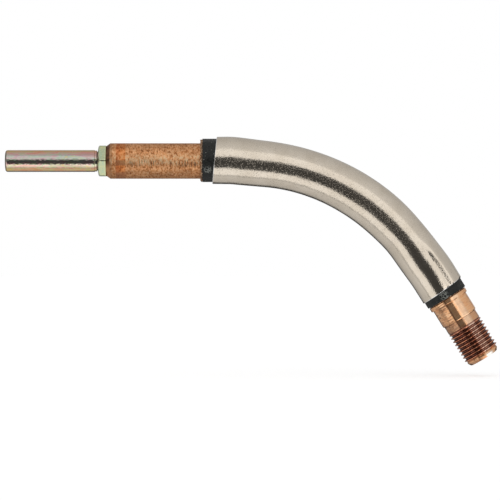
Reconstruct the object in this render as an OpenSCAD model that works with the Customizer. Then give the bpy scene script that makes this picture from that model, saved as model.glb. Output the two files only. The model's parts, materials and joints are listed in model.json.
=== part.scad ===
// Neck of a gas-shielded welding torch: a bent copper conductor in an insulated steel
// jacket, with a clamping barrel and liner guide at the rear and a threaded head in front.
// The line of the neck starts along +X and bends towards -Z. Millimetres.

/* [Barrel] */
// Radius of the barrel's clamping land
barrel_r = 6.75; // [6.75:0.05:7.2]
// Length of the clamping land
land_l = 34.5; // [25:0.5:36]
// Length of the chamfer behind the land
barrel_chamfer_l = 1.45; // [0.5:0.05:2]
// Radial height of that chamfer
barrel_chamfer_h = 1.05; // [0.5:0.05:1.2]
// Length of the barrel hidden by the insulation
barrel_nose_l = 9.5; // [8:0.5:10]

/* [Liner guide] */
// Outer radius of the guide tube
guide_r = 4.15; // [4.15:0.05:4.4]
// Radius of the bore that the liner runs in
guide_bore_r = 3; // [2:0.1:3]
// Length of the guide tube behind the hexagon
guide_l = 35.35; // [20:0.05:50]
// Radius of the rounded rear end
guide_round = 0.9; // [0.5:0.1:0.9]
// Width across the hexagon's flats
hex_af = 11.5; // [11:0.1:12]
// Thickness of the hexagon
hex_t = 3.1; // [2.5:0.1:4]
// Radius of the thread that screws into the barrel
guide_thread_r = 5; // [4.9:0.1:5.1]
// Length of the threaded spigot in front of the hexagon
guide_thread_l = 11; // [8:0.5:12]

/* [Line of the neck] */
// Straight length from the middle of the land to the rear set
rear_run = 27.7; // [27:0.1:30]
// Angle of the small set behind the main bend
rear_set = 5.2; // [2:0.1:8]
// Centre line radius of the rear set
rear_set_r = 29; // [20:1:60]
// Straight length between the rear set and the main bend
rear_link = 11; // [5:0.1:20]
// Angle of the main bend
main_bend = 48.2; // [20:0.1:60]
// Centre line radius of the main bend
main_bend_r = 79.2; // [50:0.1:120]
// Straight length between the main bend and the front set
front_link = 9.6; // [5:0.1:20]
// Angle of the small set in front of the main bend
front_set = 4.8; // [2:0.1:8]
// Centre line radius of the front set
front_set_r = 57; // [30:1:80]
// Straight length from the front set to the head's collar
front_run = 9; // [8:0.1:14]

/* [Conductor and insulation] */
// Outer radius of the conductor tube
tube_r = 6.5; // [6.3:0.1:6.5]
// Radius of the conductor tube's bore
tube_bore_r = 3.3; // [2.8:0.1:3.6]
// Outer radius of the glass fibre wrap
wrap_r = 7.8; // [7.4:0.1:7.9]
// Outer radius of the black sleeve over the wrap
sleeve_r = 8.25; // [8.1:0.01:8.25]
// Length of fibre left bare at the rear of the sleeve
bare_fibre_l = 0.6; // [0.1:0.1:1]

/* [Jacket] */
// Outer radius of the steel jacket
jacket_r = 8.75; // [8.75:0.05:9.2]
// Wall of the jacket
jacket_wall = 0.45; // [0.3:0.01:0.45]
// Insulation showing behind the jacket, on the line of the neck
rear_show = 5.15; // [4:0.05:8]
// Insulation showing in front of the jacket, with the gap to the collar
front_show = 3.4; // [2.5:0.1:5]
// Tilt of the jacket's rear edge
rear_tilt = 5.5; // [0:0.1:8]
// Tilt of the jacket's front edge
front_tilt = 3.9; // [0:0.1:6]

/* [Head] */
// Radius of the collar at the rear of the head
collar_r = 7.85; // [7.5:0.05:8.2]
// Thickness of the collar
collar_t = 1.75; // [1:0.05:2.5]
// Radius of the plain shank
shank_r = 7.18; // [7.18:0.01:7.4]
// Length of the shank
shank_l = 7.4; // [6:0.1:10]
// Radius of the neck behind the thread
head_neck_r = 6.75; // [6.5:0.05:6.85]
// Length of that neck
head_neck_l = 3.1; // [1.5:0.1:4]
// Radius of the thread's crests
thread_r = 7.02; // [7:0.01:7.03]
// Pitch of the thread, 18 turns to the inch
thread_pitch = 1.411; // [1:0.001:1.5]
// Number of thread turns
thread_turns = 9; // [4:1:14]
// Radius of the nose in front of the thread
nose_r = 6.43; // [6.3:0.01:6.5]
// Length of the nose, with its chamfer
nose_l = 1.8; // [1.5:0.1:3]
// Radius of the bore through the head
head_bore_r = 3.1; // [2.6:0.1:3.1]
// Length of the nose's chamfer
nose_chamfer_l = 1.1; // [0.5:0.1:1.2]
// Radial height of that chamfer
nose_chamfer_h = 0.74; // [0.3:0.01:1]

/* [Hidden] */
$fn = 96;

// Clearance left between pieces that slide over each other
fit_gap = 0.05;
// Bends stand this much proud of the straight runs, inside and out
bend_step = 0.02;
// Pieces of one tube reach this far into each other
run_lap = 0.2;
// Overshoot of a cutting solid past the face that it cuts
over = 1;

land_x = land_l / 2;
barrel_rear_x = -land_x - barrel_chamfer_l;
barrel_front_x = land_x + barrel_nose_l;

// The tube's ends are turned down to spigots that are brazed into the barrel and the head
spigot_r = 5.2;
head_spigot_l = 8.5;
socket_r = spigot_r + 0.05;
braze_size = 0.8;

// Relief turned in the guide where it meets the hexagon
relief_depth = 0.2;
relief_l = 1.4;
relief_slope = 0.2;
hex_corner_r = hex_af / sqrt(3);
hex_bevel = 0.5;
guide_lead = 0.6;
guide_mouth = 0.2;

// The seal sits in a groove between the hexagon and the thread
seal_r = 0.42;
seal_groove_l = 1.2;
seal_ring_r = guide_thread_r - seal_r - 0.01;
seal_groove_r = seal_ring_r - seal_r - 0.01;
seal_x = barrel_rear_x + 0.3 + seal_groove_l / 2;

// Straight runs and the bends between them, from the middle of the land forwards
runs = [rear_run, rear_link, front_link, front_run];
bend_radii = [rear_set_r, main_bend_r, front_set_r];
bend_angles = [rear_set, main_bend, front_set];

sleeve_gap = 0.25;
shank_bevel = 0.3;
collar_bevel = 0.25;
thread_depth = 0.55 * thread_pitch;
thread_root_r = thread_r - thread_depth;
crest_land = thread_pitch / 8;
root_land = thread_pitch / 4;
flank_l = (thread_pitch - crest_land - root_land) / 2;
shank_end = collar_t + shank_l;
thread_start = shank_end + head_neck_l;
thread_end = thread_start + thread_turns * thread_pitch;
head_l = thread_end + nose_l;
mouth_bevel = 0.6;

// Turns a solid of revolution so that its axis runs along +X
module along_x() {
  rotate([0, 90, 0]) children();
}

// A ring of revolution about X from points of [radius, distance]
module turned(outline) {
  along_x() rotate_extrude() polygon(outline);
}

// Moves children from the start of a bend to its end
module past_bend(i) {
  translate([0, 0, -bend_radii[i]])
    rotate([0, bend_angles[i], 0])
      translate([0, 0, bend_radii[i]])
        children();
}

// Moves children to the start of straight run i
module at_run(i) {
  if (i == 0) children();
  else at_run(i - 1) translate([runs[i - 1], 0, 0]) past_bend(i - 1) children();
}

// A straight piece of tube along +X
module pipe(outer_r, inner_r, from, to) {
  translate([from, 0, 0])
    along_x()
      difference() {
        cylinder(h = to - from, r = outer_r);
        translate([0, 0, -over]) cylinder(h = to - from + 2 * over, r = inner_r);
      }
}

// A bent piece of tube that starts along +X and curves towards -Z
module elbow(outer_r, inner_r, i) {
  translate([0, 0, -bend_radii[i]])
    rotate([90, 0, 0])
      rotate([0, 0, 90 - bend_angles[i]])
        rotate_extrude(angle = bend_angles[i])
          translate([bend_radii[i], 0])
            difference() {
              circle(r = outer_r);
              circle(r = inner_r);
            }
}

// A tube that follows the neck, from a place on the first run to one on the last
module neck_tube(outer_r, inner_r, from, to) {
  for (i = [0 : 3])
    at_run(i) pipe(outer_r, inner_r, i == 0 ? from : -run_lap, i == 3 ? to : runs[i] + run_lap);
  for (i = [0 : 2])
    at_run(i) translate([runs[i], 0, 0]) elbow(outer_r + bend_step, inner_r - bend_step, i);
}

// Block that cuts a tube off square behind or in front of X = 0
module end_block(side) {
  reach = 12;
  translate([side > 0 ? 0 : -reach, -reach, -reach]) cube([reach, 2 * reach, 2 * reach]);
}

// Rounded corner of an outline: points of [radius, distance] on a quarter circle
function rounded_end(outer_r, end, round_r) =
  [for (a = [0 : 15 : 90]) [outer_r - round_r + round_r * sin(a), end + round_r * (1 - cos(a))]];

module guide_body() {
  rear = barrel_rear_x - hex_t - guide_l;
  relief_x = barrel_rear_x - hex_t - relief_l;
  groove_from = seal_x - seal_groove_l / 2;
  groove_to = seal_x + seal_groove_l / 2;
  front = barrel_rear_x + guide_thread_l;
  thread_wall_r = guide_thread_r - 0.02;
  turned(concat(
    [[guide_bore_r + guide_mouth, rear]],
    rounded_end(guide_r, rear, guide_round),
    [[guide_r, relief_x],
     [guide_r - relief_depth, relief_x + relief_slope],
     [guide_r - relief_depth, barrel_rear_x - hex_t + relief_slope],
     [seal_groove_r + 0.3, barrel_rear_x - 0.2],
     [thread_wall_r, barrel_rear_x - 0.2],
     [thread_wall_r, groove_from],
     [seal_groove_r, groove_from],
     [seal_groove_r, groove_to],
     [thread_wall_r, groove_to],
     [thread_wall_r, front - guide_lead],
     [thread_wall_r - guide_lead, front],
     [guide_bore_r, front],
     [guide_bore_r, rear + guide_mouth]]
  ));
}

// Hexagon with its rear corners turned off
module guide_hex() {
  bevel_l = (hex_corner_r - hex_af / 2 + hex_bevel) * tan(30);
  intersection() {
    translate([barrel_rear_x - hex_t, 0, 0])
      along_x()
        rotate([0, 0, 30])
          difference() {
            cylinder(h = hex_t, r = hex_corner_r, $fn = 6);
            translate([0, 0, -over]) cylinder(h = hex_t + 2 * over, r = guide_bore_r + 0.5);
          }
    turned([
      [0, barrel_rear_x - hex_t],
      [hex_af / 2 - hex_bevel, barrel_rear_x - hex_t],
      [hex_corner_r, barrel_rear_x - hex_t + bevel_l],
      [hex_corner_r + over, barrel_rear_x - hex_t + bevel_l],
      [hex_corner_r + over, barrel_rear_x + over],
      [0, barrel_rear_x + over]
    ]);
  }
}

// Plated steel tube that leads the wire liner into the neck
module liner_guide() {
  color([0.78, 0.74, 0.56]) {
    guide_body();
    guide_hex();
  }
}

// Rubber ring that keeps the shielding gas in at the guide's thread
module guide_o_ring() {
  color([0.08, 0.08, 0.08])
    translate([seal_x, 0, 0])
      along_x()
        rotate_extrude()
          translate([seal_ring_r, 0])
            circle(r = seal_r);
}

// Copper barrel that the torch body clamps: tapped behind, socketed in front
module rear_connector() {
  tapped_to = barrel_rear_x + guide_thread_l + 1;
  color([0.75, 0.49, 0.29])
    turned([
      [guide_thread_r, barrel_rear_x],
      [barrel_r - barrel_chamfer_h, barrel_rear_x],
      [barrel_r, -land_x],
      [barrel_r, land_x],
      [tube_r, land_x],
      [tube_r, barrel_front_x],
      [socket_r + braze_size, barrel_front_x],
      [socket_r, barrel_front_x - braze_size],
      [socket_r, land_x],
      [tube_bore_r, land_x],
      [tube_bore_r, tapped_to],
      [guide_thread_r, tapped_to]
    ]);
}

// Ring of brazing metal in the chamfered mouth of a socket that opens towards `side`
module braze_ring(mouth_x, side) {
  turned([
    [socket_r, mouth_x],
    [socket_r + braze_size, mouth_x],
    [socket_r, mouth_x - side * braze_size]
  ]);
}

module rear_braze_ring() {
  color([0.83, 0.76, 0.55]) braze_ring(barrel_front_x, 1);
}

module front_braze_ring() {
  color([0.83, 0.76, 0.55]) at_run(3) braze_ring(front_run, -1);
}

// Thick copper tube that carries the current, the gas and the liner round the bend
module conductor_tube() {
  color([0.72, 0.45, 0.27]) {
    neck_tube(tube_r, tube_bore_r, barrel_front_x, front_run);
    pipe(spigot_r, tube_bore_r, land_x, barrel_front_x + run_lap);
    at_run(3) pipe(spigot_r, tube_bore_r, front_run - run_lap, front_run + head_spigot_l);
  }
}

// Glass fibre wound over the conductor, with its end bare behind the sleeve
module fibre_wrap() {
  color([0.62, 0.45, 0.28])
    neck_tube(wrap_r, tube_r + fit_gap, land_x, front_run - sleeve_gap);
}

// Black sleeve over the fibre
module insulating_sleeve() {
  color([0.15, 0.16, 0.15])
    neck_tube(sleeve_r, wrap_r + fit_gap, land_x + bare_fibre_l, front_run - sleeve_gap);
}

// Nickel plated steel tube, bent with the neck and cut a little out of square
module jacket() {
  rear_x = land_x + rear_show;
  front_x = front_run - front_show;
  color([0.78, 0.73, 0.66])
    difference() {
      neck_tube(jacket_r, jacket_r - jacket_wall, rear_x - over, front_x + over);
      translate([rear_x, 0, 0]) rotate([0, rear_tilt, 0]) end_block(-1);
      at_run(3) translate([front_x, 0, 0]) rotate([0, -front_tilt, 0]) end_block(1);
    }
}

// Outline of one ring of the thread, from the root that starts at s
function thread_turn(s) = [
  [thread_root_r, s + root_land / 2],
  [thread_r, s + root_land / 2 + flank_l],
  [thread_r, s + root_land / 2 + flank_l + crest_land],
  [thread_root_r, s + thread_pitch - root_land / 2]
];

// Copper head brazed on the conductor: collar, shank, neck, thread and nose
module head() {
  color([0.80, 0.53, 0.36])
    at_run(3)
      translate([front_run, 0, 0])
        turned(concat(
          [[socket_r + braze_size, 0],
           [collar_r - collar_bevel, 0],
           [collar_r, collar_bevel],
           [collar_r, collar_t - collar_bevel / 2],
           [collar_r - collar_bevel / 2, collar_t],
           [shank_r, collar_t],
           [shank_r, shank_end - shank_bevel],
           [shank_r - shank_bevel, shank_end],
           [head_neck_r, shank_end],
           [head_neck_r, thread_start]],
          [for (i = [0 : thread_turns - 1]) each thread_turn(thread_start + i * thread_pitch)],
          [[thread_root_r, thread_end],
           [nose_r, thread_end],
           [nose_r, head_l - nose_chamfer_l],
           [nose_r - nose_chamfer_h, head_l],
           [head_bore_r + mouth_bevel, head_l],
           [head_bore_r, head_l - mouth_bevel],
           [head_bore_r, head_spigot_l],
           [socket_r, head_spigot_l],
           [socket_r, braze_size]]
        ));
}

liner_guide();
guide_o_ring();
rear_connector();
rear_braze_ring();
conductor_tube();
fibre_wrap();
insulating_sleeve();
jacket();
front_braze_ring();
head();
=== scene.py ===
"""Looks of the welding torch neck: metals, insulation, the real helical thread, studio and camera."""

import json
import math
import random

import bmesh
import bpy
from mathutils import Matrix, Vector, noise


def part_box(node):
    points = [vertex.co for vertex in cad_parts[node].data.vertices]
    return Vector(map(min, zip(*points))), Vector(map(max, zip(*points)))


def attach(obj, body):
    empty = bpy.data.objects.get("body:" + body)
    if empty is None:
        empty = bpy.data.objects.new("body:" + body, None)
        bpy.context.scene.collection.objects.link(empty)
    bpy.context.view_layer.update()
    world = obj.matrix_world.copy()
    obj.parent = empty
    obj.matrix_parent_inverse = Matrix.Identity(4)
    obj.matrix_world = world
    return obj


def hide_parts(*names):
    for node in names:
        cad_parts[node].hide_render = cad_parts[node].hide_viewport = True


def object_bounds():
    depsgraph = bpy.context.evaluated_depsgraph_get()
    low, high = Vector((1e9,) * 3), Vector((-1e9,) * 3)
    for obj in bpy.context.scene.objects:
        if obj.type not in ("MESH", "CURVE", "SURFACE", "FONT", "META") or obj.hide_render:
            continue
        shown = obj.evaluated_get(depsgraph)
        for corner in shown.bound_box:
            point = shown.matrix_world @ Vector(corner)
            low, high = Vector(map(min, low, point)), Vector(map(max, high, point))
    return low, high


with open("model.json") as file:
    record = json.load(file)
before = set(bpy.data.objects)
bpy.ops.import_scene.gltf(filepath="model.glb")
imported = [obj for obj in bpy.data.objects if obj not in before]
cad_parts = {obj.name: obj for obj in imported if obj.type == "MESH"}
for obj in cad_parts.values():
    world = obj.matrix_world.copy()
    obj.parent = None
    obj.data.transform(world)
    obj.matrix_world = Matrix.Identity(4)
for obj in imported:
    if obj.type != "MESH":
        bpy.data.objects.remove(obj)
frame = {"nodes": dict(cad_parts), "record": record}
cad_low, cad_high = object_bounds()
mounts = {m["name"]: m for m in frame["record"]["mounts"]}
random.seed(7)

MM = 0.001
UP = Vector((0, 0, 1))
SIDE = Vector((0, 1, 0))

# ---------------------------------------------------------------- line of the neck

# The neck's centre line from the middle of the clamping land, as part.scad has it.
RUNS = (27.7 * MM, 11.0 * MM, 9.6 * MM, 9.0 * MM)
BENDS = ((29.0 * MM, 5.2), (79.2 * MM, 48.2), (57.0 * MM, 4.8))


def neck_pieces():
    """The centre line as a list of (length, bend radius or None)."""
    pieces = [(RUNS[0], None)]
    for run, (radius, angle) in zip(RUNS[1:], BENDS):
        pieces += [(radius * math.radians(angle), radius), (run, None)]
    return pieces


NECK = neck_pieces()
NECK_LENGTH = sum(length for length, _ in NECK)


def neck_at(station):
    """Point and nose-down heading of the centre line, a distance along it from the origin."""
    x = z = heading = 0.0
    left = station
    for i, (length, radius) in enumerate(NECK):
        step = left if i == len(NECK) - 1 else min(left, length)
        if radius is None:
            x += step * math.cos(heading)
            z -= step * math.sin(heading)
        else:
            end = heading + step / radius
            x += radius * (math.sin(end) - math.sin(heading))
            z -= radius * (math.cos(heading) - math.cos(end))
            heading = end
        left -= step
        if left <= 0:
            break
    return Vector((x, 0, z)), heading


def neck_axes(heading):
    """Unit vectors along the neck and out of its upper, outer side."""
    along = Vector((math.cos(heading), 0, -math.sin(heading)))
    out = Vector((math.sin(heading), 0, math.cos(heading)))
    return along, out


HEAD_ORIGIN, HEAD_HEADING = neck_at(NECK_LENGTH)

# ---------------------------------------------------------------- meshes


def new_object(name, points, faces, material):
    """A piece of the visual model, on the part's only body."""
    mesh = bpy.data.meshes.new(name)
    mesh.from_pydata(points, [], faces)
    mesh.update()
    piece = bpy.data.objects.new(name, mesh)
    bpy.context.scene.collection.objects.link(piece)
    mesh.materials.append(material)
    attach(piece, "root")
    return piece


def tidy_mesh(piece, sharp_angle=35):
    """Merges doubled points, turns the normals outwards and shades smooth up to a sharp edge."""
    work = bmesh.new()
    work.from_mesh(piece.data)
    bmesh.ops.remove_doubles(work, verts=work.verts, dist=1e-7)
    bmesh.ops.dissolve_degenerate(work, edges=work.edges, dist=1e-8)
    bmesh.ops.recalc_face_normals(work, faces=work.faces)
    work.to_mesh(piece.data)
    work.free()
    piece.data.shade_smooth()
    piece.data.set_sharp_from_angle(angle=math.radians(sharp_angle))


def ring_faces(rows, columns, closed):
    """Quads between rings of points. A closed list of rings joins its last ring to its first."""
    faces = []
    for i in range(rows if closed else rows - 1):
        above = (i + 1) % rows
        for j in range(columns):
            beside = (j + 1) % columns
            a, b = i * columns + j, i * columns + beside
            faces.append((a, b, above * columns + beside, above * columns + j))
    return faces


def sleeve_outline(start, end, outer, inner, bevel, step):
    """Stations and radii round a tube's wall: out along the outside and back along the bore."""
    count = max(2, round((end - start) / step))
    outside = [(start + bevel + (end - start - 2 * bevel) * i / count, outer) for i in range(count + 1)]
    inside = [(station, inner) for station, _ in reversed(outside)]
    lip = bevel * 0.3
    front = [(end - lip, outer - lip), (end, outer - bevel), (end, inner + bevel), (end - lip, inner + lip)]
    rear = [
        (start + lip, inner + lip),
        (start, inner + bevel),
        (start, outer - bevel),
        (start + lip, outer - lip),
    ]
    return outside + front + inside + rear


def swept_tube(name, outline, columns, shape, material):
    """A closed tube along the neck. shape(station, angle, radius) moves a point along and outwards."""
    points = []
    for station, radius in outline:
        centre, heading = neck_at(station)
        along, out = neck_axes(heading)
        for j in range(columns):
            angle = 2 * math.pi * j / columns
            shift, growth = shape(station, angle, radius)
            away = out * math.cos(angle) + SIDE * math.sin(angle)
            points.append(centre + away * (radius + growth) + along * shift)
    faces = ring_faces(len(outline), columns, True)
    piece = new_object(name, points, faces, material)
    tidy_mesh(piece)
    return piece


def bump_at(value, centre, width):
    """A smooth hump of height 1."""
    return math.exp(-(((value - centre) / width) ** 2))


def near_angle(angle, centre, width):
    """A smooth hump of height 1 round a circle."""
    turn = (angle - centre + math.pi) % (2 * math.pi) - math.pi
    return math.exp(-((turn / width) ** 2))


def smooth_noise(*at):
    """Even noise round 0 at three coordinates."""
    return noise.noise(Vector(at))


# ---------------------------------------------------------------- material nodes

# In the materials, lengths and places are in millimetres and colours are linear.


class Nodes:
    """Makes nodes in a material's or the world's tree, with short names for the ones used here."""

    def __init__(self, tree):
        self.nodes = tree.nodes
        self.links = tree.links

    def fill(self, socket, value):
        if isinstance(value, bpy.types.NodeSocket):
            self.links.new(value, socket)
        else:
            socket.default_value = value

    def add(self, kind, inputs=None, **settings):
        made = self.nodes.new(kind)
        for key, value in settings.items():
            setattr(made, key, value)
        for key, value in (inputs or {}).items():
            self.fill(made.inputs[key], value)
        return made

    def noise(self, place, scale=1.0, detail=3.0, roughness=0.55, distortion=0.0):
        inputs = {
            "Vector": place,
            "Scale": scale,
            "Detail": detail,
            "Roughness": roughness,
            "Distortion": distortion,
        }
        return self.add("ShaderNodeTexNoise", inputs).outputs[0]

    def cells(self, place, scale=1.0, feature="F1"):
        inputs = {"Vector": place, "Scale": scale}
        return self.add("ShaderNodeTexVoronoi", inputs, feature=feature).outputs["Distance"]

    def ramp(self, value, stops, smooth=False):
        """A colour or grey for a value. stops is a list of (position, grey or colour)."""
        made = self.add("ShaderNodeValToRGB", {"Fac": value})
        made.color_ramp.interpolation = "EASE" if smooth else "LINEAR"
        elements = made.color_ramp.elements
        while len(elements) < len(stops):
            elements.new(0.5)
        for element, (position, colour) in zip(elements, stops):
            element.position = position
            grey = isinstance(colour, (int, float))
            element.color = (colour, colour, colour, 1) if grey else (*colour, 1)
        return made.outputs[0]

    def math(self, operation, *values, clamp=False):
        made = self.add("ShaderNodeMath", operation=operation, use_clamp=clamp)
        for socket, value in zip(made.inputs, values):
            self.fill(socket, value)
        return made.outputs[0]

    def between(self, value, low, high, soft):
        """1 where the value lies between low and high, fading over soft."""
        rise = self.math("DIVIDE", self.math("SUBTRACT", value, low), soft, clamp=True)
        fall = self.math("DIVIDE", self.math("SUBTRACT", high, value), soft, clamp=True)
        return self.math("MULTIPLY", rise, fall)

    def patch(self, place, centre, radius, soft):
        """1 within a radius of a point, fading outwards over soft. All in the units of place."""
        inputs = {0: place, 1: centre}
        distance = self.add("ShaderNodeVectorMath", inputs, operation="DISTANCE").outputs["Value"]
        gap = self.math("SUBTRACT", radius + soft, distance)
        return self.math("DIVIDE", gap, soft, clamp=True)

    def mix(self, amount, a, b, blend="MIX"):
        made = self.add("ShaderNodeMix", data_type="RGBA", blend_type=blend)
        self.fill(made.inputs[0], amount)
        for socket, colour in ((made.inputs[6], a), (made.inputs[7], b)):
            self.fill(socket, (*colour, 1) if isinstance(colour, tuple) else colour)
        return made.outputs[2]

    def parts(self, place):
        made = self.add("ShaderNodeSeparateXYZ", {"Vector": place})
        return made.outputs[0], made.outputs[1], made.outputs[2]

    def bump(self, height, distance_mm, strength=1.0, below=None):
        inputs = {"Height": height, "Distance": distance_mm * MM, "Strength": strength}
        if below is not None:
            inputs["Normal"] = below
        return self.add("ShaderNodeBump", inputs).outputs[0]


class Shader(Nodes):
    """The nodes of one material."""

    def __init__(self, name, **settings):
        self.material = bpy.data.materials.new(name)
        self.material.use_nodes = True
        super().__init__(self.material.node_tree)
        self.surface = self.nodes["Principled BSDF"]
        self.place = self.add("ShaderNodeTexCoord").outputs["Object"]
        for socket, value in settings.items():
            self.set(socket, value)

    def set(self, socket, value):
        self.fill(self.surface.inputs[socket.replace("_", " ")], value)

    def stretched(self, x=1.0, y=1.0, z=1.0, place=None):
        """Coordinates in millimetres, scaled along each axis."""
        scale = (x / MM, y / MM, z / MM)
        return self.add("ShaderNodeMapping", {"Vector": place or self.place, "Scale": scale}).outputs[0]

    def in_frame(self, origin, heading):
        """Coordinates whose X runs along an axis that starts at origin, nose down by heading."""
        inputs = {"Vector": self.place, "Location": origin, "Rotation": (0, heading, 0)}
        return self.add("ShaderNodeMapping", inputs, vector_type="TEXTURE").outputs[0]

    def level(self, height, radius, stops, smooth=True):
        """A colour or grey for a height from -radius to radius. Stops are given from -1 to 1."""
        share = self.math("ADD", self.math("DIVIDE", height, 2 * radius), 0.5)
        return self.ramp(share, [((at + 1) / 2, colour) for at, colour in stops], smooth)


def jacket_rims(s):
    """1 on the rims of the jacket's two tilted ends."""
    front, front_heading = neck_at(JACKET_FRONT)
    rear, rear_heading = neck_at(JACKET_REAR)
    front_frame = s.in_frame(front, front_heading - math.radians(FRONT_TILT))
    rear_frame = s.in_frame(rear, rear_heading + math.radians(REAR_TILT))
    past_front, _, _ = s.parts(s.stretched(place=front_frame))
    past_rear, _, _ = s.parts(s.stretched(place=rear_frame))
    front_rim = s.between(past_front, -1.5 * JACKET_RIM / MM, 5.0, 0.05)
    rear_rim = s.between(past_rear, -5.0, 1.2 * JACKET_RIM / MM, 0.05)
    return s.math("MAXIMUM", front_rim, rear_rim)


def crinkled_strip(s, fine):
    """Height of the crinkles in a strip above the kink near the front. Its mean is zero."""
    front, heading = neck_at(JACKET_FRONT)
    along, to_side, outwards = s.parts(s.stretched(place=s.in_frame(front, heading)))
    strip = s.math("MULTIPLY", s.between(outwards, 2.6, 4.6, 0.4), s.between(along, -16.0, 2.0, 6.0))
    strip = s.math("MULTIPLY", strip, s.between(to_side, -20.0, -3.0, 1.0))
    return s.math("MULTIPLY", s.math("SUBTRACT", s.noise(fine, 1.5, 3, 0.6), 0.5), strip)


def nickel():
    """Bright warm nickel over a drawn tube: orange peel, pits, near-white rims that are partly uncoated cut
    metal and partly a painted highlight, and a crinkled strip.
    """
    s = Shader("nickel_plate", Metallic=1.0)
    fine = s.stretched()
    _, _, z = s.parts(fine)
    tint = s.ramp(s.noise(fine, 0.16, 4), [(0.35, (0.70, 0.615, 0.505)), (0.65, (0.77, 0.685, 0.575))])
    grain = s.noise(fine, 2.1, 2, 0.6)
    pits = s.ramp(grain, [(0.29, 0.0), (0.33, 1.0)])
    skin = s.mix(pits, (0.38, 0.34, 0.30), tint)
    # Painted highlight on the rims: their near-white stands partly for uncoated cut metal and partly for
    # the light that the rims catch.
    s.set("Base Color", s.mix(jacket_rims(s), skin, (0.94, 0.93, 0.91)))

    matt = s.ramp(s.noise(s.stretched(1.1, 1.0, 1.3), 1.7, 3, 0.7), [(0.50, 0.0), (0.60, 1.0)])
    matt_here = s.math("MULTIPLY", matt, s.between(z, -44.0, 50.0, 18.0))
    s.set("Roughness", s.math("ADD", s.math("MULTIPLY", matt_here, 0.32), 0.075))
    peel = s.bump(crinkled_strip(s, fine), 0.17, 1.0, s.bump(grain, 0.036))
    s.set("Normal", s.bump(s.noise(fine, 0.30, 2), 0.06, 1.0, peel))
    return s.material


# Colours of the guide's passivate over its height, from its lower side to its top, with painted sheen: the
# colour and brightness that the passivate shows with the angle of view are painted in by height.
PASSIVATE_AND_SHEEN_BY_HEIGHT = [
    (-1.00, (0.72, 0.60, 0.36)),
    (-0.86, (0.72, 0.50, 0.26)),
    (-0.74, (0.78, 0.56, 0.30)),
    (-0.64, (0.66, 0.46, 0.30)),
    (-0.52, (0.72, 0.54, 0.41)),
    (-0.40, (0.90, 0.72, 0.57)),
    (-0.10, (0.70, 0.63, 0.55)),
    (0.30, (0.50, 0.47, 0.42)),
    (0.48, (0.50, 0.43, 0.40)),
    (0.62, (0.60, 0.43, 0.36)),
    (0.76, (0.68, 0.42, 0.29)),
    (0.90, (0.64, 0.42, 0.20)),
    (1.00, (0.56, 0.42, 0.22)),
]

# Tints that drift over those colours like oil on water.
OILY_TINTS = [
    (0.34, (1.04, 0.82, 0.72)),
    (0.42, (1.06, 0.82, 0.94)),
    (0.50, (1.00, 1.00, 1.00)),
    (0.57, (0.84, 1.08, 0.96)),
    (0.65, (1.04, 1.00, 0.72)),
]


def zinc():
    """Turned steel under an iridescent yellow passivate, paler green on the hexagon, with its sheen painted
    in by height, a painted dark reflection at the rear tip and painted shadow in the groove behind the
    hexagon.
    """
    s = Shader("zinc_passivate", Metallic=1.0)
    x, _, z = s.parts(s.stretched())
    streak = s.noise(s.stretched(0.10, 0.55, 0.55), 1.0, 4, 0.6, 0.5)
    drift = s.math("ADD", z, s.math("MULTIPLY", s.math("SUBTRACT", streak, 0.5), 1.5))
    # Painted sheen: the passivate's colours are laid by height, as the tube shows them from the front.
    bands = s.level(drift, GUIDE_R / MM, PASSIVATE_AND_SHEEN_BY_HEIGHT)
    clouds = s.noise(s.stretched(0.14, 0.50, 0.50), 1.0, 4, 0.6, 1.2)
    tube = s.mix(1.0, bands, s.ramp(clouds, OILY_TINTS), "MULTIPLY")
    mint = s.ramp(
        s.noise(s.stretched(0.35, 0.30, 0.30), 1.0, 3, 0.5, 0.5),
        [(0.38, (0.46, 0.60, 0.42)), (0.52, (0.52, 0.58, 0.38)), (0.66, (0.66, 0.64, 0.32))],
    )
    yellow_edge = s.between(x, HEX_FRONT / MM - 0.75, HEX_FRONT / MM + 1.0, 0.5)
    hexagon = s.between(x, HEX_REAR / MM - 0.02, HEX_FRONT / MM, 0.04)
    flats = s.mix(s.math("MULTIPLY", yellow_edge, 0.6), mint, (0.72, 0.68, 0.38))
    # Painted reflection and shadow: a dark reflection on the rounded rear tip, and shadow in the groove
    # behind the hexagon.
    tip_dark_reflection = s.between(x, guide_low.x / MM - 1.0, guide_low.x / MM + 0.75, 0.3)
    groove_shadow = s.between(x, HEX_REAR / MM - 0.60, HEX_REAR / MM - 0.03, 0.05)
    shade = s.math("MAXIMUM", s.math("MULTIPLY", tip_dark_reflection, 0.75), s.math("MULTIPLY", groove_shadow, 0.85))
    tube = s.mix(shade, tube, (0.10, 0.075, 0.05))
    s.set("Base Color", s.mix(hexagon, tube, flats))
    s.set("Roughness", s.ramp(s.noise(s.stretched(), 1.6, 4), [(0.35, 0.06), (0.65, 0.16)]))
    turning = s.bump(s.noise(s.stretched(5.0, 0.6, 0.6), 1.0, 3), 0.008)
    s.set("Normal", s.bump(s.noise(s.stretched(), 1.5, 2, 0.6), 0.095, 1.0, turning))
    return s.material


# Painted shade over the barrel's height, from its lower side to its top: darker towards the top and bottom.
SHADE_BY_HEIGHT = [
    (-1.00, 0.70),
    (-0.78, 0.70),
    (-0.62, 0.74),
    (-0.46, 1.00),
    (-0.34, 1.00),
    (-0.25, 0.92),
    (-0.08, 1.00),
    (0.40, 1.00),
    (0.80, 0.82),
    (1.00, 0.66),
]


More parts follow.
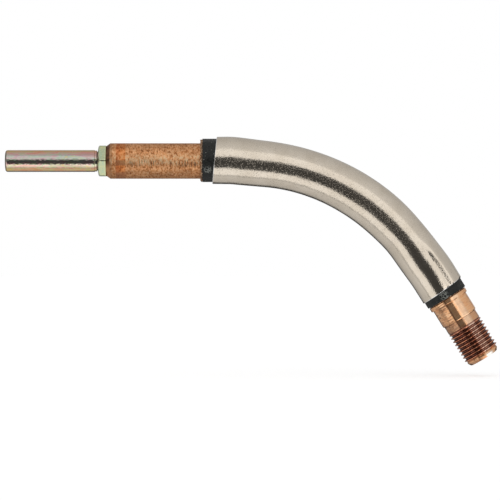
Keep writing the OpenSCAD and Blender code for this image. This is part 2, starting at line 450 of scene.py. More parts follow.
def barrel_skin(s, grain, clouds, z):
    """Grainy copper with a painted highlight band along the middle of its height, and painted shade that
    darkens it towards the top and bottom.
    """
    dull = s.ramp(
        grain,
        [(0.36, (0.38, 0.135, 0.045)), (0.47, (0.84, 0.37, 0.14)), (0.62, (1.0, 0.60, 0.32))],
    )
    # Painted highlight: this paler copper is laid on a band of the side's height.
    rubbed = s.ramp(
        grain,
        [(0.36, (0.60, 0.23, 0.085)), (0.46, (1.0, 0.51, 0.23)), (0.58, (1.0, 0.71, 0.42))],
    )
    # Painted highlight band along the middle of the side's height.
    side = s.level(z, BARREL_R / MM, [(-0.28, 0.0), (-0.10, 1.0), (0.16, 1.0), (0.46, 0.0)])
    cloudy = s.ramp(clouds, [(0.36, 0.80), (0.60, 1.00)])
    # Painted shade by height, darker towards the top and bottom.
    painted_shade = s.level(z, BARREL_R / MM, SHADE_BY_HEIGHT)
    skin = s.mix(1.0, s.mix(side, dull, rubbed), cloudy, "MULTIPLY")
    return s.mix(1.0, skin, painted_shade, "MULTIPLY")


def barrel_stains(s, skin, from_rear, z):
    """Two overlapping stained bands near the rear, dark in patches, and a shaded band behind them."""
    wavy = s.math("ADD", from_rear, s.math("MULTIPLY", s.noise(s.stretched(), 0.7, 2), 0.5))
    stained = s.between(wavy, 3.9, 7.75, 0.25)
    inner_stain = s.between(wavy, 3.9, 5.45, 0.3)
    tint = s.mix(inner_stain, (1.0, 0.76, 0.54), (0.90, 0.62, 0.46))
    skin = s.mix(stained, skin, s.mix(1.0, skin, tint, "MULTIPLY"))
    patches = s.math("MAXIMUM", s.between(z, -2.1, 0.3, 0.4), s.between(z, -8.0, -4.2, 0.5))
    patches = s.math("MULTIPLY", patches, stained)
    skin = s.mix(s.math("MULTIPLY", patches, 0.6), skin, (0.36, 0.17, 0.085))
    shaded = s.between(wavy, 1.2, 2.75, 0.3)
    return s.mix(s.math("MULTIPLY", shaded, 0.45), skin, (0.34, 0.17, 0.085))


def barrel_ticks(s, skin, from_rear, z):
    """Short dark ticks across a band along one side, from the stains to the front."""
    ticks = s.ramp(s.noise(s.stretched(1.9, 0.30, 0.30), 1.0, 2, 0.6), [(0.54, 0.0), (0.58, 1.0)])
    band = s.math("MULTIPLY", s.between(z, -2.9, 0.5, 0.9), s.between(from_rear, 8.0, 60.0, 3.0))
    ticks = s.math("MULTIPLY", ticks, band)
    return s.mix(s.math("MULTIPLY", ticks, 0.75), skin, (0.17, 0.065, 0.025))


def barrel_chamfer(s, skin, from_rear, z):
    """Burnt rear chamfer, cleaner on its lower side."""
    soot = s.noise(s.stretched(), 1.3, 4)
    burnt = s.ramp(soot, [(0.35, (0.10, 0.045, 0.025)), (0.65, (0.28, 0.12, 0.06))])
    low_side = s.between(z, -20.0, -0.5, 2.5)
    chamfer = s.between(from_rear, -1.0, 1.45, 0.12)
    return s.mix(chamfer, skin, s.mix(low_side, burnt, (0.62, 0.31, 0.15)))


def barrel_copper():
    """Copper with painted highlight and shade by height: fine grain, ticks along one side, stains near the
    rear, burnt chamfer.
    """
    s = Shader("barrel_copper", Metallic=0.76)
    x, _, z = s.parts(s.stretched())
    from_rear = s.math("SUBTRACT", x, BARREL_REAR / MM)
    grain = s.noise(s.stretched(1.5, 0.95, 0.95), 1.0, 3, 0.7)
    clouds = s.noise(s.stretched(0.22, 0.40, 0.40), 1.0, 4, 0.6)
    skin = barrel_skin(s, grain, clouds, z)
    skin = barrel_stains(s, skin, from_rear, z)
    skin = barrel_ticks(s, skin, from_rear, z)
    s.set("Base Color", barrel_chamfer(s, skin, from_rear, z))
    s.set("Roughness", s.ramp(clouds, [(0.35, 0.66), (0.65, 0.56)]))
    scratches = s.bump(s.noise(s.stretched(3.0, 0.6, 0.6), 1.0, 3, 0.7), 0.07)
    s.set("Normal", s.bump(grain, 0.05, 1.0, scratches))
    return s.material


def turned_copper(s, turned, blotches):
    """Bright turned copper with browned blotches."""
    bright = s.ramp(
        turned,
        [(0.34, (0.95, 0.44, 0.20)), (0.50, (1.0, 0.54, 0.27)), (0.66, (1.0, 0.64, 0.38))],
    )
    return s.mix(s.ramp(blotches, [(0.34, 0.55), (0.46, 0.0)]), bright, (0.52, 0.24, 0.12))


def head_dirt(s, skin, place, local, z):
    """Two dirty places on the side, by the collar and on the neck, and dark turning lines low down."""
    speckle = s.ramp(s.noise(local, 1.5, 3, 0.7), [(0.40, 0.55), (0.50, 0.0)])
    by_collar = s.patch(local, (3.1, -5.2, -4.6), 1.3, 1.3)
    on_neck = s.patch(local, (11.0, -4.5, -5.0), 2.2, 2.0)
    dirty = s.math("MULTIPLY", s.math("MAXIMUM", by_collar, on_neck), s.math("ADD", speckle, 0.3))
    lines = s.ramp(s.noise(s.stretched(2.4, 0.20, 0.20, place), 1.0, 2), [(0.54, 0.0), (0.60, 0.7)])
    lines = s.math("MULTIPLY", lines, s.between(z, -20.0, -1.2, 1.5))
    return s.mix(s.math("MAXIMUM", dirty, lines), skin, (0.13, 0.06, 0.035))


def head_shades(s, skin, along, z):
    """Painted shade on the recessed neck and in the step at the shoulder, and a thin dark line along the
    lower side.
    """
    # Painted shade: the neck between shank and thread and the shoulder's step are darkened.
    neck = s.between(along, SHANK_END / MM, THREAD_START / MM, 0.1)
    skin = s.mix(s.math("MULTIPLY", neck, 0.40), skin, (0.42, 0.22, 0.13))
    shoulder = s.between(along, SHANK_END / MM - 0.15, SHANK_END / MM + 0.35, 0.2)
    skin = s.mix(s.math("MULTIPLY", shoulder, 0.55), skin, (0.22, 0.10, 0.05))
    line_stops = [(-0.34, 0.0), (-0.31, 1.0), (-0.26, 1.0), (-0.23, 0.0)]
    line = s.level(z, SHANK_R / MM, line_stops, smooth=False)
    return s.mix(s.math("MULTIPLY", line, 0.7), skin, (0.30, 0.13, 0.07))


def head_nose(s, skin, along, z, highlight_band):
    """Painted highlight on the nose along the side's highlight band, and darker on its lower side."""
    nose = s.between(along, THREAD_END / MM + 0.5, 40.0, 0.25)
    # Painted highlight: the nose made near-white along the highlight band.
    nose_highlight = s.math("MULTIPLY", nose, s.math("MULTIPLY_ADD", highlight_band, 0.9, 0.05))
    skin = s.mix(nose_highlight, skin, (1.0, 0.93, 0.86))
    dull = s.math("MULTIPLY", nose, s.between(z, -20.0, 1.2, 1.0))
    return s.mix(s.math("MULTIPLY", dull, 0.55), skin, (0.42, 0.19, 0.09))


def thread_copper(s, local, radius, highlight_band):
    """Dark red-brown in the thread's roots, redder on its crests, with a painted highlight that pales
    crests and roots along a band of the side.
    """
    root = s.ramp(s.noise(local, 1.2, 3), [(0.35, (0.08, 0.024, 0.016)), (0.65, (0.24, 0.078, 0.050))])
    crest = s.ramp(s.noise(local, 1.5, 3), [(0.35, (0.52, 0.17, 0.09)), (0.62, (0.94, 0.43, 0.24))])
    crest = s.mix(s.math("MULTIPLY", highlight_band, 0.85), crest, (1.0, 0.74, 0.58))
    root = s.mix(s.math("MULTIPLY", highlight_band, 0.35), root, (0.75, 0.40, 0.28))
    return s.mix(s.between(radius, THREAD_ROOT / MM + 0.42, 20.0, 0.30), root, crest)


def head_copper():
    """Turned bright copper, dark red-brown in the thread, stained by the collar, with a painted highlight
    band along the side and at the nose.
    """
    s = Shader("head_copper", Metallic=0.70)
    place = s.in_frame(HEAD_ORIGIN, HEAD_HEADING)
    local = s.stretched(place=place)
    along, y, z = s.parts(local)
    radius = s.math("POWER", s.math("ADD", s.math("MULTIPLY", y, y), s.math("MULTIPLY", z, z)), 0.5)
    turned = s.noise(s.stretched(3.4, 0.22, 0.22, place), 1.0, 3, 0.6)
    blotches = s.noise(local, 0.42, 4, 0.6)
    # Painted highlight: a band of the side's height where the head is made paler.
    highlight_band = s.level(z, SHANK_R / MM, [(0.08, 0.0), (0.20, 1.0), (0.46, 1.0), (0.58, 0.0)])

    skin = turned_copper(s, turned, blotches)
    skin = head_dirt(s, skin, place, local, z)
    skin = head_shades(s, skin, along, z)
    # Painted highlight on the shank along that band.
    skin = s.mix(s.math("MULTIPLY", highlight_band, 0.45), skin, (0.86, 0.66, 0.48))
    skin = head_nose(s, skin, along, z, highlight_band)
    on_thread = s.between(along, THREAD_START / MM - 0.1, THREAD_END / MM - 0.2, 0.12)
    s.set("Base Color", s.mix(on_thread, skin, thread_copper(s, local, radius, highlight_band)))
    s.set("Roughness", s.ramp(blotches, [(0.3, 0.22), (0.6, 0.11)]))
    grooves = s.bump(turned, 0.012)
    s.set("Normal", s.bump(s.noise(local, 1.1, 2), 0.016, 1.0, grooves))
    return s.material


def black_insulation():
    """Hard black sleeve, faintly crazed in places, with painted white glints and two scuffed spots."""
    s = Shader("black_insulation", Specular_IOR_Level=0.32)
    fine = s.stretched()
    crazing = s.cells(fine, 1.1, "DISTANCE_TO_EDGE")
    cracks = s.ramp(crazing, [(0.0, 1.0), (0.05, 0.0)])
    patch = s.ramp(s.noise(fine, 0.45, 2), [(0.54, 0.0), (0.62, 1.0)])
    grey = s.noise(fine, 1.9, 4, 0.65)
    base = s.ramp(
        grey,
        [(0.35, (0.006, 0.007, 0.0065)), (0.62, (0.020, 0.021, 0.019)), (0.74, (0.07, 0.072, 0.066))],
    )
    crazed = s.math("MULTIPLY", s.math("MULTIPLY", cracks, patch), 0.4)
    base = s.mix(crazed, base, (0.11, 0.12, 0.10))
    along, out = neck_axes(HEAD_HEADING)
    front_rub = (HEAD_ORIGIN - along * 1.8 * MM - SIDE * 8.2 * MM - out * 0.9 * MM) / MM
    rear_rub = (20.0, -7.4, -3.6)
    rubbed = s.math("MAXIMUM", s.patch(fine, front_rub, 1.3, 0.8), s.patch(fine, rear_rub, 1.0, 0.8))
    scuffs = s.ramp(s.cells(fine, 1.0, "DISTANCE_TO_EDGE"), [(0.03, 1.0), (0.09, 0.0)])
    base = s.mix(s.math("MULTIPLY", scuffs, rubbed), base, (0.30, 0.31, 0.28))
    # Painted highlight: tiny pale glints spread over the sleeve.
    glints = s.ramp(s.cells(s.stretched(0.9, 0.9, 0.9)), [(0.07, 1.0), (0.12, 0.0)])
    s.set("Base Color", s.mix(glints, base, (0.55, 0.54, 0.50)))
    s.set("Roughness", s.ramp(s.noise(fine, 1.3, 3), [(0.3, 0.34), (0.7, 0.62)]))
    grain = s.bump(s.noise(fine, 2.2, 4, 0.6), 0.05)
    s.set("Normal", s.bump(crazing, 0.02, 0.6, grain))
    return s.material


def glass_fibre():
    """Brown varnished fibre, lighter in random threads."""
    s = Shader("glass_fibre", Roughness=0.7)
    threads = s.noise(s.stretched(3.0, 1.6, 1.6), 1.0, 5, 0.75)
    shades = [(0.38, (0.02, 0.012, 0.008)), (0.50, (0.22, 0.09, 0.035)), (0.62, (0.85, 0.62, 0.40))]
    s.set("Base Color", s.ramp(threads, shades))
    s.set("Normal", s.bump(threads, 0.12))
    return s.material


def plain_copper(name, dark, light):
    """Hidden copper and brazing metal: cloudy, with drawn marks."""
    s = Shader(name, Metallic=1.0)
    clouds = s.noise(s.stretched(0.6, 1.2, 1.2), 1.0, 5)
    s.set("Base Color", s.ramp(clouds, [(0.35, dark), (0.65, light)]))
    s.set("Roughness", s.ramp(clouds, [(0.3, 0.50), (0.7, 0.28)]))
    s.set("Normal", s.bump(clouds, 0.03))
    return s.material


def seal_rubber():
    s = Shader("seal_rubber", Roughness=0.7)
    grain = s.noise(s.stretched(), 4.0, 3)
    s.set("Base Color", s.ramp(grain, [(0.3, 0.012), (0.7, 0.035)]))
    s.set("Normal", s.bump(grain, 0.01))
    return s.material


# ---------------------------------------------------------------- sizes from the frame

barrel_low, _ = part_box("rear_connector")
guide_low, guide_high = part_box("liner_guide")
BARREL_REAR = barrel_low.x
GUIDE_R = mounts["guide_tube"]["dims"]["r_mm"] * MM
BARREL_R = mounts["rear_barrel"]["dims"]["r_mm"] * MM
LINER_R = mounts["liner_bore"]["dims"]["r_mm"] * MM
SHANK_R = mounts["head_shank"]["dims"]["r_mm"] * MM
THREAD_R = mounts["front_thread"]["dims"]["r_mm"] * MM
BORE_R = mounts["head_bore"]["dims"]["r_mm"] * MM

# The guide's hexagon and spigot, as part.scad has them.
HEX_FRONT = BARREL_REAR
HEX_REAR = HEX_FRONT - 3.1 * MM
HEX_FLAT = 5.75 * MM
HEX_CORNER = 6.52 * MM
SPIGOT_R = 4.98 * MM
SEAL_GROOVE_R = 4.14 * MM
SEAL_GROOVE_REAR = BARREL_REAR + 0.3 * MM
SEAL_GROOVE_FRONT = BARREL_REAR + 1.5 * MM

# Distances along the head from its collar's rear face, and radii, as part.scad has them.
COLLAR_R = 7.85 * MM
COLLAR_T = 1.75 * MM
SHANK_END = 9.15 * MM
HEAD_NECK_R = 6.75 * MM
PITCH = 1.411 * MM
TURNS = 9
THREAD_START = 12.25 * MM
THREAD_END = THREAD_START + TURNS * PITCH
THREAD_ROOT = THREAD_R - 0.60 * PITCH
NOSE_R = 6.43 * MM
HEAD_LENGTH = THREAD_END + 1.8 * MM
SOCKET_R = 5.25 * MM
SOCKET_DEPTH = 8.5 * MM
SOCKET_MOUTH_R = 5.9 * MM
SOCKET_MOUTH_T = 0.8 * MM

# Tubes round the neck, as part.scad has them.
JACKET_R = 8.75 * MM
JACKET_BORE = 8.30 * MM
JACKET_RIM = 0.16 * MM
SLEEVE_R = 8.25 * MM
WRAP_R = 7.80 * MM
WRAP_BORE = 6.55 * MM
JACKET_REAR = 22.4 * MM
JACKET_FRONT = NECK_LENGTH - 3.4 * MM
SLEEVE_REAR = 17.85 * MM
SLEEVE_FRONT = NECK_LENGTH - 0.25 * MM
WRAP_REAR = 17.25 * MM

# How far out of square the jacket's ends are cut, in degrees.
REAR_TILT = 5.5
FRONT_TILT = 3.9

# Where the jacket isn't round, measured in the plane of its bend: (station, reach, height in mm).
JACKET_SWELLS = ((29 * MM, 12 * MM, 0.27), (118 * MM, 6 * MM, 0.05))
JACKET_PINCHES = ((60 * MM, 17 * MM, 0.13), (103 * MM, 7 * MM, 0.20))

# The kink along the jacket's side near its front, in degrees round from the top, and its heights in mm.
RIDGE_TURN = 54
RIDGE_WIDTH = 10
RIDGE_HEIGHT = 0.30
DENT_TURN = 58
DENT_STEP = 14
DENT_DEPTH = 0.40
RETURN_TURN = 74
RETURN_WIDTH = 90
KINK_LENGTH = 21 * MM
KINK_FADE = 8 * MM

# How high in mm the insulation sits where it leaves the barrel, and where it settles.
REAR_RISE = 0.24
RISE_END = 24 * MM
RISE_FADE = 22 * MM

# ---------------------------------------------------------------- pieces


def eased(value):
    """0 below 0, 1 above 1 and a smooth step between."""
    value = min(max(value, 0.0), 1.0)
    return value * value * (3 - 2 * value)


def rise(station):
    """The insulation sits a little high where it leaves the barrel, and is central past the rear set."""
    return REAR_RISE * (1 - eased((station - RISE_END) / RISE_FADE))


def ledge(station, angle):
    """Growth at a long kink near the front, on one side: a low ridge, a step down and a slow way back."""
    turn = -math.degrees((angle + math.pi) % (2 * math.pi) - math.pi)
    fall = eased((turn - DENT_TURN) / DENT_STEP) * (1 - eased((turn - RETURN_TURN) / RETURN_WIDTH))
    reach = eased((station - JACKET_FRONT + KINK_LENGTH) / KINK_FADE)
    return (RIDGE_HEIGHT * bump_at(turn, RIDGE_TURN, RIDGE_WIDTH) - DENT_DEPTH * fall) * reach


def humps(station, marks):
    """Height at a station of several humps, each given as (station, reach, height)."""
    return sum(height * bump_at(station, at, reach) for at, reach, height in marks)


def jacket_shape(station, angle, radius):
    """Bent tube: swollen at the rear set, flattened through the bend, ends cut out of square."""
    rear = REAR_TILT * bump_at(station, JACKET_REAR, 5 * MM)
    front = -FRONT_TILT * bump_at(station, JACKET_FRONT, 4 * MM)
    shift = radius * math.cos(angle) * math.tan(math.radians(rear + front))
    growth = rise(station) * math.cos(angle)
    if radius < JACKET_BORE + 0.15 * MM:
        return shift, growth * MM
    in_plane = math.cos(angle) ** 2
    swell = humps(station, JACKET_SWELLS) - humps(station, JACKET_PINCHES)
    growth += swell * in_plane - 0.5 * swell * (1 - in_plane)
    growth += 0.02 * smooth_noise(station * 90, math.cos(angle), math.sin(angle))
    return shift, (growth + ledge(station, angle)) * MM


def make_jacket(material):
    outline = sleeve_outline(JACKET_REAR, JACKET_FRONT, JACKET_R, JACKET_BORE, JACKET_RIM, 0.6 * MM)
    piece = swept_tube("jacket_skin", outline, 200, jacket_shape, material)
    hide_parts("jacket")


def sleeve_shape(station, angle, radius):
    """Crisp in front, worn and ragged at the rear edge."""
    end = bump_at(station, SLEEVE_REAR, 0.25 * MM)
    tear = 0.30 * smooth_noise(math.cos(angle) * 7, math.sin(angle) * 7, 1.0)
    worn = -0.25 * abs(smooth_noise(math.cos(angle) * 6, math.sin(angle) * 6, 4.0))
    return end * tear * MM, (end * worn + rise(station) * math.cos(angle)) * MM


def make_sleeve(material):
    outline = sleeve_outline(SLEEVE_REAR, SLEEVE_FRONT, SLEEVE_R, WRAP_R + 0.05 * MM, 0.10 * MM, 0.8 * MM)
    piece = swept_tube("insulating_sleeve_skin", outline, 200, sleeve_shape, material)
    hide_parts("insulating_sleeve")


def fibre_shape(station, angle, radius):
    """Torn at the rear, where single layers end at different lengths."""
    end = bump_at(station, WRAP_REAR, 0.45 * MM)
    tear = 0.55 * smooth_noise(math.cos(angle) * 15, math.sin(angle) * 15, radius * 900)
    fray = 0.30 * smooth_noise(math.cos(angle) * 11, math.sin(angle) * 11, 7.0)
    if radius < WRAP_BORE + 0.3 * MM:
        return end * tear * MM, 0.0
    return end * (tear - 0.10) * MM, (end * fray + rise(station) * math.cos(angle)) * MM


def make_wrap(material):
    outline = sleeve_outline(WRAP_REAR, SLEEVE_FRONT, WRAP_R, WRAP_BORE, 0.12 * MM, 0.8 * MM)
    piece = swept_tube("fibre_wrap_skin", outline, 240, fibre_shape, material)
    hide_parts("fibre_wrap")


STRANDS = 170


def strand_faces():
    """Faces of a closed strand of three square rings."""
    sides = []
    for ring in (0, 4):
        for corner in range(4):
            beside = (corner + 1) % 4
            sides.append((ring + corner, ring + beside, ring + 4 + beside, ring + 4 + corner))
    return [(3, 2, 1, 0), *sides, (8, 9, 10, 11)]


def make_strands(material):
    """Loose ends of fibre that stand out of the wrap's torn end."""
    points, faces = [], []
    for _ in range(STRANDS):
        angle = random.uniform(0, 2 * math.pi)
        radius = (random.uniform(7.0, 8.15) + rise(0) * math.cos(angle)) * MM
        length = random.uniform(0.3, 1.0) * MM
        half = random.uniform(0.03, 0.07) * MM
        lean = Vector((-length, random.uniform(-0.2, 0.2) * MM, random.uniform(-0.2, 0.2) * MM))
        away = UP * math.cos(angle) + SIDE * math.sin(angle)
        across = away.cross(Vector((1, 0, 0)))
        root = away * radius + Vector((SLEEVE_REAR + 0.1 * MM, 0, 0))
        knee = root + lean * 0.6 + away * 0.04 * MM
        first = len(points)
        for at, size in ((root, half), (knee, half), (root + lean, half * 0.4)):
            for corner in range(4):
                turn = math.pi / 2 * corner + math.pi / 4
                points.append(at + (away * math.cos(turn) + across * math.sin(turn)) * size)
        faces += [tuple(first + i for i in face) for face in strand_faces()]
    piece = new_object("fibre_strands", points, faces, material)
    tidy_mesh(piece, 80)


GUIDE_COLUMNS = 240


def hex_radius(angle):
    """Radius of a hexagon with its flats up and down, and its corners turned off."""
    off_flat = (angle + math.pi / 6) % (math.pi / 3) - math.pi / 6
    return min(HEX_FLAT / math.cos(off_flat), HEX_CORNER)


def guide_rings():
    """Rings of the guide as (x, radius), from its rear mouth forwards and back along the bore.

    A ring with no radius follows the hexagon, held in by the cone that its rear corners are turned to.
    """
    rear, front = guide_low.x, guide_high.x
    round_r = 0.9 * MM
    rings = [(rear, LINER_R + 0.2 * MM)]
    for step in range(9):
        turn = math.pi / 2 * step / 8
        rings.append((rear + round_r * (1 - math.cos(turn)), GUIDE_R - round_r * (1 - math.sin(turn))))
    relief = HEX_REAR - 1.4 * MM
    rings += [(rear + round_r + (relief - rear - round_r) * i / 24, GUIDE_R) for i in range(1, 25)]
    rings += [
        (relief + 0.15 * MM, GUIDE_R - 0.16 * MM),
        (HEX_REAR - 0.50 * MM, GUIDE_R - 0.18 * MM),
        (HEX_REAR - 0.42 * MM, GUIDE_R - 0.55 * MM),
        (HEX_REAR - 0.02 * MM, GUIDE_R - 0.55 * MM),
        (HEX_REAR, GUIDE_R - 0.50 * MM),
        (HEX_REAR, HEX_FLAT - 0.75 * MM),
    ]
    rings += [(HEX_REAR + 0.08 * MM * i, None) for i in range(1, 12)]
    rings += [
        (HEX_FRONT - 0.12 * MM, None),
        (HEX_FRONT - 0.02 * MM, HEX_FLAT - 0.12 * MM),
        (HEX_FRONT - 0.02 * MM, SPIGOT_R),
        (SEAL_GROOVE_REAR, SPIGOT_R),
        (SEAL_GROOVE_REAR, SEAL_GROOVE_R),
        (SEAL_GROOVE_FRONT, SEAL_GROOVE_R),
        (SEAL_GROOVE_FRONT, SPIGOT_R),
        (front - 0.6 * MM, SPIGOT_R),
        (front, SPIGOT_R - 0.6 * MM),
        (front, LINER_R),
        (rear + 0.2 * MM, LINER_R),
    ]
    return rings


def make_guide(material):
    points = []
    for x, radius in guide_rings():
        cone = HEX_FLAT - 0.55 * MM + (x - HEX_REAR) * math.tan(math.radians(60))
        for column in range(GUIDE_COLUMNS):
            angle = 2 * math.pi * column / GUIDE_COLUMNS
            reach = min(hex_radius(angle), cone) if radius is None else radius
            points.append(Vector((x, 0, 0)) + (UP * math.cos(angle) + SIDE * math.sin(angle)) * reach)
    faces = ring_faces(len(points) // GUIDE_COLUMNS, GUIDE_COLUMNS, True)
    piece = new_object("liner_guide_skin", points, faces, material)
    tidy_mesh(piece, 24)
    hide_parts("liner_guide")


THREAD_COLUMNS = 144
THREAD_ROWS = 14

# Shares of the pitch: the flat on a crest, a flank, and the lengths of the fades at both ends.
CREST_FLAT = 0.14
FLANK = 0.62
RUNOUT = 0.9
LEAD = 0.35


def thread_radius(turn_part, station):
    """Radius of the thread's rounded V at a part of a turn, faded in at both ends."""
    from_crest = abs(turn_part - 0.5) * 2
    flank = min(max((from_crest - CREST_FLAT) / FLANK, 0.0), 1.0)
    height = 1.0 - flank
    runout = min(max((station - THREAD_START) / (RUNOUT * PITCH), 0.0), 1.0)
    lead = min(max((THREAD_END - station) / (LEAD * PITCH), 0.0), 1.0)
    root = THREAD_ROOT + (HEAD_NECK_R - 0.1 * MM - THREAD_ROOT) * (1 - runout)
    crest = HEAD_NECK_R + (THREAD_R - HEAD_NECK_R) * min(runout, lead)
    return root + (crest - root) * height


def head_rings():
    """Rings of the head as (station, radius) before and after the thread, and along the bore."""
    before = [
        (0.0, SOCKET_MOUTH_R),
        (0.0, COLLAR_R - 0.32 * MM),
        (0.07 * MM, COLLAR_R - 0.14 * MM),
        (0.26 * MM, COLLAR_R),
        (COLLAR_T - 0.26 * MM, COLLAR_R),
        (COLLAR_T - 0.07 * MM, COLLAR_R - 0.08 * MM),
        (COLLAR_T, COLLAR_R - 0.25 * MM),
        (COLLAR_T + 0.02 * MM, SHANK_R + 0.10 * MM),
        (COLLAR_T + 0.10 * MM, SHANK_R),
        (SHANK_END - 0.35 * MM, SHANK_R),
        (SHANK_END - 0.06 * MM, SHANK_R - 0.20 * MM),
        (SHANK_END, HEAD_NECK_R + 0.10 * MM),
        (SHANK_END + 0.08 * MM, HEAD_NECK_R),
        (THREAD_START, HEAD_NECK_R),
    ]
    after = [
        (THREAD_END + 0.02 * MM, NOSE_R - 0.12 * MM),
        (THREAD_END + 0.16 * MM, NOSE_R),
        (HEAD_LENGTH - 1.15 * MM, NOSE_R),
        (HEAD_LENGTH - 0.95 * MM, NOSE_R - 0.08 * MM),
        (HEAD_LENGTH - 0.10 * MM, NOSE_R - 0.64 * MM),
        (HEAD_LENGTH, NOSE_R - 0.80 * MM),
        (HEAD_LENGTH, BORE_R + 0.62 * MM),
        (HEAD_LENGTH - 0.05 * MM, BORE_R + 0.52 * MM),
        (HEAD_LENGTH - 0.60 * MM, BORE_R),
        (SOCKET_DEPTH, BORE_R),
        (SOCKET_DEPTH, SOCKET_R),
        (SOCKET_MOUTH_T, SOCKET_R),
        (0.0, SOCKET_MOUTH_R),
    ]
    return supported(before), supported(after)


def supported(rings):
    """Adds a ring close to both ends of every long wall, so that it shades straight."""
    close = 0.05 * MM
    fuller = [rings[0]]
    for (s0, r0), (s1, r1) in zip(rings, rings[1:]):
        length = math.hypot(s1 - s0, r1 - r0)
        if length > 8 * close:
            share = close / length
            fuller += [(s0 + (s1 - s0) * at, r0 + (r1 - r0) * at) for at in (share, 1 - share)]
        fuller.append((s1, r1))
    return fuller


def head_point(station, angle, radius):
    along, out = neck_axes(HEAD_HEADING)
    away = out * math.cos(angle) + SIDE * math.sin(angle)
    return HEAD_ORIGIN + along * station + away * radius


def nicked(station, angle, radius):
    """The thread's crests are bruised at one place on the outer side."""
    bruise = bump_at(station, THREAD_START + 6.3 * PITCH, 0.7 * PITCH) * near_angle(angle, 0.0, 0.28)
    return radius - 0.42 * MM * bruise * (radius > THREAD_ROOT + 0.2 * MM)


def add_ring(points, faces, last, station, radius, columns, backwards):
    """Adds a ring of the head and joins it to the last one."""
    first = len(points)
    for column in range(columns):
        points.append(head_point(station, 2 * math.pi * column / columns, radius))
    ring = [first + column for column in range(columns)]
    for column in range(columns):
        beside = (column + 1) % columns
        quad = (last[column], last[beside], ring[beside], ring[column])
        faces.append(quad[::-1] if backwards else quad)
    return ring


def make_head(material):
    """Head with a true right-hand helix. Rows of the thread climb one pitch in each turn."""
    before, after = head_rings()
    rows = (TURNS + 1) * THREAD_ROWS + 1
    points, faces = [], []
    columns = THREAD_COLUMNS

    def thread_index(row, column):
        """Point of the thread's grid; past the last column it is the first, one turn on."""
        if column == columns:
            row, column = min(row + THREAD_ROWS, rows - 1), 0
        return row * columns + column

    for row in range(rows):
        for column in range(columns):
            angle = 2 * math.pi * column / columns
            turns = row / THREAD_ROWS - 1 + column / columns
            station = THREAD_START + min(max(turns, 0), TURNS) * PITCH
            radius = thread_radius(turns % 1.0, station)
            if turns <= 0:
                radius = HEAD_NECK_R
            if turns >= TURNS:
                radius = THREAD_ROOT + 0.1 * MM
            points.append(head_point(station, angle, nicked(station, angle, radius)))
    for row in range(rows - 1):
        for column in range(columns):
            a, b = thread_index(row, column), thread_index(row, column + 1)
            c, d = thread_index(row + 1, column + 1), thread_index(row + 1, column)
            faces.append((a, b, c, d))

    first_ring = list(range(columns))
    last_ring = [(rows - 1) * columns + column for column in range(columns)]
    ring = first_ring
    for station, radius in reversed(before):
        ring = add_ring(points, faces, ring, station, radius, columns, True)
    ring = last_ring
    for station, radius in after:
        ring = add_ring(points, faces, ring, station, radius, columns, False)
    piece = new_object("threaded_head", points, faces, material)
    tidy_mesh(piece, 28)
    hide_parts("head")


def clothe(node, material):
    """Gives a CAD node its finished material."""
    slots = frame["nodes"][node].material_slots
    for slot in slots:
        slot.material = material


# ---------------------------------------------------------------- studio

# Directions from the object to the middles of the tent's openings and to a lamp.
OPENING = (-0.06, -1, -0.205)
BACK_OPENING = (0, 1, -0.38)
CORNER_GAPS = (
    (-0.72, 0.68, 0.05),
    (0.72, 0.68, 0.05),
    (-0.72, -0.68, 0.12),
    (0.72, -0.68, -0.12),
)
LOW_LAMP = (0.75, -0.15, -0.65)

# Degrees from the middles of the openings behind and at the corners to their edges, and the fade.
BACK_EDGE = 20
GAP_EDGE = 14
EDGE_FADE = 4

# The tent's brightness by degrees from the middle of its front opening.
TENT_GREYS = [
    (0, 0.05),
    (25.5, 0.08),
    (28.5, 1.0),
    (62, 1.06),
    (68, 0.74),
    (90, 0.66),
    (122, 0.57),
    (180, 0.45),
]

# How much it dims low on the left, by the same degrees.
LOW_SHADE = [
    (62, 0.0),
    (64, 0.75),
    (68, 0.75),
    (71, 0.0),
    (112, 0.0),
    (134, 0.65),
    (180, 0.75),
]

# The reflector by the head: its middle along the head, its length, its reach outwards, its distance.
CARD_MIDDLE = 13 * MM
CARD_LENGTH = 34 * MM
CARD_NEAR = 10 * MM
CARD_FAR = 28 * MM
CARD_DISTANCE = 60 * MM

# What the camera takes in, at the object.
VIEW_CENTRE = Vector((35.87 * MM, 0, -33.86 * MM))
VIEW_WIDTH = 190.25 * MM
LENS = 200


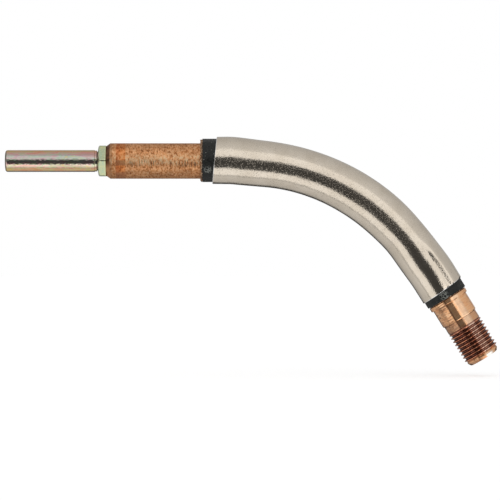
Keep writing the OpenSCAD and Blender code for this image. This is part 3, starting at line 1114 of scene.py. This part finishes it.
def studio_light():
    """A white tent with dark openings in front, behind and at its corners, and a lamp low on the right.

    Only reflections and diffuse light see it. The camera sees a white backdrop.
    """
    world = bpy.data.worlds.new("tent")
    bpy.context.scene.world = world
    world.use_nodes = True
    n = Nodes(world.node_tree)
    n.nodes.clear()
    direction = n.add("ShaderNodeTexCoord").outputs["Generated"]
    x, _, z = n.parts(direction)

    def away_from(centre):
        """Angle between a direction and the centre of something, as a share of half a turn."""
        inputs = {0: direction, 1: Vector(centre).normalized()}
        cosine = n.add("ShaderNodeVectorMath", inputs, operation="DOT_PRODUCT").outputs["Value"]
        return n.math("DIVIDE", n.math("ARCCOSINE", cosine), math.pi)

    def by_degrees(share, stops):
        return n.ramp(share, [(degrees / 180, grey) for degrees, grey in stops])

    from_opening = away_from(OPENING)
    wall = by_degrees(from_opening, TENT_GREYS)
    down = n.math("MULTIPLY", z, -2.5, clamp=True)
    left = n.math("MULTIPLY_ADD", x, -4.0, 2.0, clamp=True)
    low_left = n.math("MULTIPLY", down, left)
    dim = n.math("MULTIPLY", by_degrees(from_opening, LOW_SHADE), low_left)
    wall = n.mix(dim, wall, (0.30, 0.30, 0.30))
    lamp = by_degrees(away_from(LOW_LAMP), [(0, 1.0), (22, 1.0), (32, 0.0)])
    wall = n.mix(lamp, wall, (1.5, 1.5, 1.5))
    for centre, edge in ((BACK_OPENING, BACK_EDGE), *((gap, GAP_EDGE) for gap in CORNER_GAPS)):
        dark = by_degrees(away_from(centre), [(0, 1.0), (edge, 1.0), (edge + EDGE_FADE, 0.0)])
        wall = n.mix(dark, wall, (0.07, 0.07, 0.07))

    tent = n.add("ShaderNodeBackground", {"Color": wall})
    backdrop = n.add("ShaderNodeBackground", {"Color": (1, 1, 1, 1)})
    seen = n.add("ShaderNodeLightPath").outputs["Is Camera Ray"]
    chosen = n.add("ShaderNodeMixShader", {0: seen, 1: tent.outputs[0], 2: backdrop.outputs[0]})
    n.add("ShaderNodeOutputWorld", {"Surface": chosen.outputs[0]})


def stage_sheet(name, corners, **settings):
    """A flat sheet of the studio."""
    mesh = bpy.data.meshes.new(name)
    mesh.from_pydata(corners, [], [(0, 1, 2, 3)])
    sheet = bpy.data.objects.new(name, mesh)
    bpy.context.scene.collection.objects.link(sheet)
    mesh.materials.append(Shader(name + "_white", Roughness=0.9, **settings).material)
    return sheet


def make_floor():
    """Pale floor a little below the head."""
    size = 4.0
    level = cad_low.z - 4 * MM
    corners = [(-size, -size, level), (size, -size, level), (size, size, level), (-size, size, level)]
    floor = stage_sheet("floor", corners, Emission_Color=(1, 1, 1, 1), Emission_Strength=0.5)
    floor.visible_glossy = False
    floor.visible_diffuse = False


def make_card():
    """Small white reflector close to the head, seen only in the head's glossy reflections."""
    along, out = neck_axes(HEAD_HEADING)
    middle = HEAD_ORIGIN + along * CARD_MIDDLE - SIDE * CARD_DISTANCE
    rear = middle - along * CARD_LENGTH / 2
    front = middle + along * CARD_LENGTH / 2
    near, far = out * CARD_NEAR, out * CARD_FAR
    corners = [rear + near, front + near, front + far, rear + far]
    card = stage_sheet("reflector", corners, Emission_Color=(1, 1, 1, 1), Emission_Strength=1.0)
    card.visible_camera = False
    card.visible_diffuse = False
    card.visible_shadow = False


def make_camera():
    """Long lens level with the object, looking along +Y."""
    data = bpy.data.cameras.new("camera")
    data.lens = LENS
    camera = bpy.data.objects.new("camera", data)
    bpy.context.scene.collection.objects.link(camera)
    bpy.context.scene.camera = camera
    distance = VIEW_WIDTH * data.lens / data.sensor_width
    camera.location = VIEW_CENTRE - SIDE * distance
    camera.rotation_euler = (math.radians(90), 0, 0)
    data.clip_start = 0.01
    data.clip_end = 20


make_camera()
studio_light()
make_floor()
make_card()
bpy.context.scene.view_settings.view_transform = "Standard"

fibre = glass_fibre()
make_jacket(nickel())
make_sleeve(black_insulation())
make_wrap(fibre)
make_strands(fibre)
make_head(head_copper())
make_guide(zinc())
clothe("rear_connector", barrel_copper())
clothe("guide_o_ring", seal_rubber())
clothe("conductor_tube", plain_copper("conductor_copper", (0.42, 0.20, 0.10), (0.66, 0.38, 0.22)))
braze = plain_copper("braze_metal", (0.50, 0.42, 0.26), (0.78, 0.70, 0.50))
clothe("rear_braze_ring", braze)
clothe("front_braze_ring", braze)
